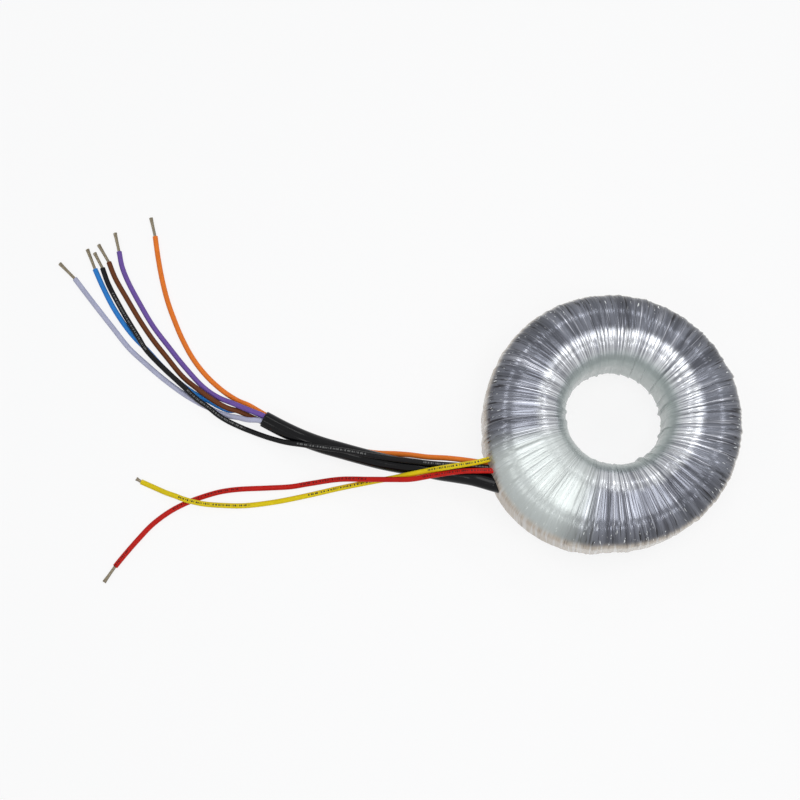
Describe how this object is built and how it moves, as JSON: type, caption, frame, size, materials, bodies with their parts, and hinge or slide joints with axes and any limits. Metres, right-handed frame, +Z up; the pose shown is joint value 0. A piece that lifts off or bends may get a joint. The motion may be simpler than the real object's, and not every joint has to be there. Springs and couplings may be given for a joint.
{
  "type": "toroidal transformer",
  "caption": "Ring-shaped mains transformer wrapped in gathered clear film over its windings, with coloured flying leads and a black sleeve leaving one side.",
  "frame": {"origin": "middle of the coil's underside, on the surface it rests on", "axes": "+Z up along the coil's axis; the leads run out towards -X"},
  "size_m": [0.2702, 0.1494, 0.0367],
  "materials": {
    "core_steel": "tape-wound silicon steel, satin",
    "cap_nylon": "moulded nylon, matt",
    "primary_copper": "enamelled copper, glossy",
    "secondary_copper": "enamelled copper, glossy",
    "insulation_tape": "polyester tape, glossy",
    "pad_felt": "pressed felt",
    "joint_sleeving": "thin sleeving, glossy",
    "wrap_film": "many layers of clear polyester film over copper, silvery and glossy",
    "black_sleeve": "glossy black sleeving",
    "violet_pvc": "PVC, semi-gloss",
    "brown_pvc": "PVC, semi-gloss",
    "blue_pvc": "PVC, semi-gloss",
    "grey_pvc": "PVC, semi-gloss",
    "orange_pvc": "PVC, semi-gloss",
    "yellow_pvc": "PVC, semi-gloss",
    "black_pvc": "PVC, semi-gloss",
    "red_pvc": "PVC, semi-gloss",
    "tinned_copper": "tinned copper strands, dull"
  },
  "bodies": {
    "root": {"steel_core": "core_steel", "upper_core_cap": "cap_nylon", "lower_core_cap": "cap_nylon", "primary_winding_1": "primary_copper", "primary_winding_2": "primary_copper", "winding_insulation": "insulation_tape", "secondary_winding_1": "secondary_copper", "secondary_winding_2": "secondary_copper", "joint_pad": "pad_felt", "lead_joints": "joint_sleeving", "film_wrap": "wrap_film", "primary_sleeve": "black_sleeve", "violet_lead": "violet_pvc", "brown_lead": "brown_pvc", "blue_lead": "blue_pvc", "grey_lead": "grey_pvc", "orange_lead": "orange_pvc", "yellow_lead": "yellow_pvc", "black_lead": "black_pvc", "red_lead": "red_pvc", "violet_lead_end": "tinned_copper", "brown_lead_end": "tinned_copper", "blue_lead_end": "tinned_copper", "grey_lead_end": "tinned_copper", "orange_lead_end": "tinned_copper", "yellow_lead_end": "tinned_copper", "black_lead_end": "tinned_copper", "red_lead_end": "tinned_copper"}
  },
  "joints": []
}
